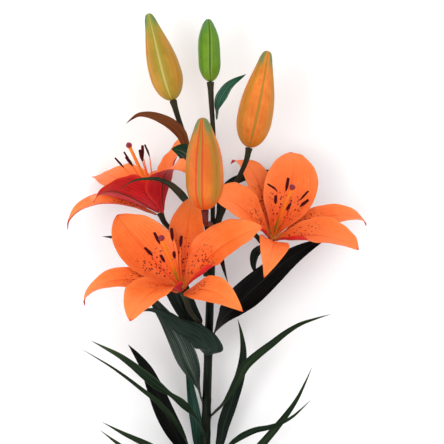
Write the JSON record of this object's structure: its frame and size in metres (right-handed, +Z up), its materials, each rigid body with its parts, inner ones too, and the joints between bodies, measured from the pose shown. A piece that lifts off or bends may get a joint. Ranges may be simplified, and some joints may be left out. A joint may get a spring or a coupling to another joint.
{
  "type": "cut lily stem",
  "caption": "Cut stem of orange lilies lying on a surface, with open trumpet flowers, closed buds and long narrow leaves.",
  "frame": {"origin": "middle of the bottom of the bounding box, on the surface the stem lies on", "axes": "+Y along the stem from the cut end towards the flowers, +Z up off the surface, +X to the right of the stem"},
  "size_m": [0.2676, 0.5016, 0.1652],
  "materials": {
    "stem": "satin",
    "stalk": "satin",
    "leaf": "satin",
    "tepal": "satin",
    "orange_bud": "satin",
    "green_bud": "satin",
    "stamens": "matte",
    "pistil": "satin"
  },
  "bodies": {
    "root": {"back_flower_petal_1": "tepal", "back_flower_petal_2": "tepal", "back_flower_petal_3": "tepal", "back_flower_pistil": "pistil", "back_flower_sepal_1": "tepal", "back_flower_sepal_2": "tepal", "back_flower_sepal_3": "tepal", "back_flower_stalk": "stalk", "back_flower_stamens": "stamens", "bract_back": "leaf", "bract_back_flower": "leaf", "bract_far_right": "leaf", "bract_green_bud": "leaf", "bract_left_bud": "leaf", "bract_right_flower": "leaf", "bract_small": "leaf", "bud_front": "orange_bud", "bud_front_stalk": "stalk", "bud_green": "green_bud", "bud_green_stalk": "stalk", "bud_left": "orange_bud", "bud_left_stalk": "stalk", "bud_right": "orange_bud", "bud_right_stalk": "stalk", "front_flower_petal_1": "tepal", "front_flower_petal_2": "tepal", "front_flower_petal_3": "tepal", "front_flower_pistil": "pistil", "front_flower_sepal_1": "tepal", "front_flower_sepal_2": "tepal", "front_flower_sepal_3": "tepal", "front_flower_stalk": "stalk", "front_flower_stamens": "stamens", "leaf_beside_stem": "leaf", "leaf_far_left": "leaf", "leaf_left_black": "leaf", "leaf_left_dark": "leaf", "leaf_left_folded": "leaf", "leaf_left_striped": "leaf", "leaf_left_thread": "leaf", "leaf_left_twisted": "leaf", "leaf_low_left_lower": "leaf", "leaf_low_left_upper": "leaf", "leaf_low_right_long": "leaf", "leaf_low_right_thin": "leaf", "leaf_right_arching": "leaf", "leaf_right_broad": "leaf", "leaf_right_upright": "leaf", "right_flower_petal_1": "tepal", "right_flower_petal_2": "tepal", "right_flower_petal_3": "tepal", "right_flower_pistil": "pistil", "right_flower_sepal_1": "tepal", "right_flower_sepal_2": "tepal", "right_flower_sepal_3": "tepal", "right_flower_stalk": "stalk", "right_flower_stamens": "stamens", "stem": "stem"}
  },
  "joints": []
}
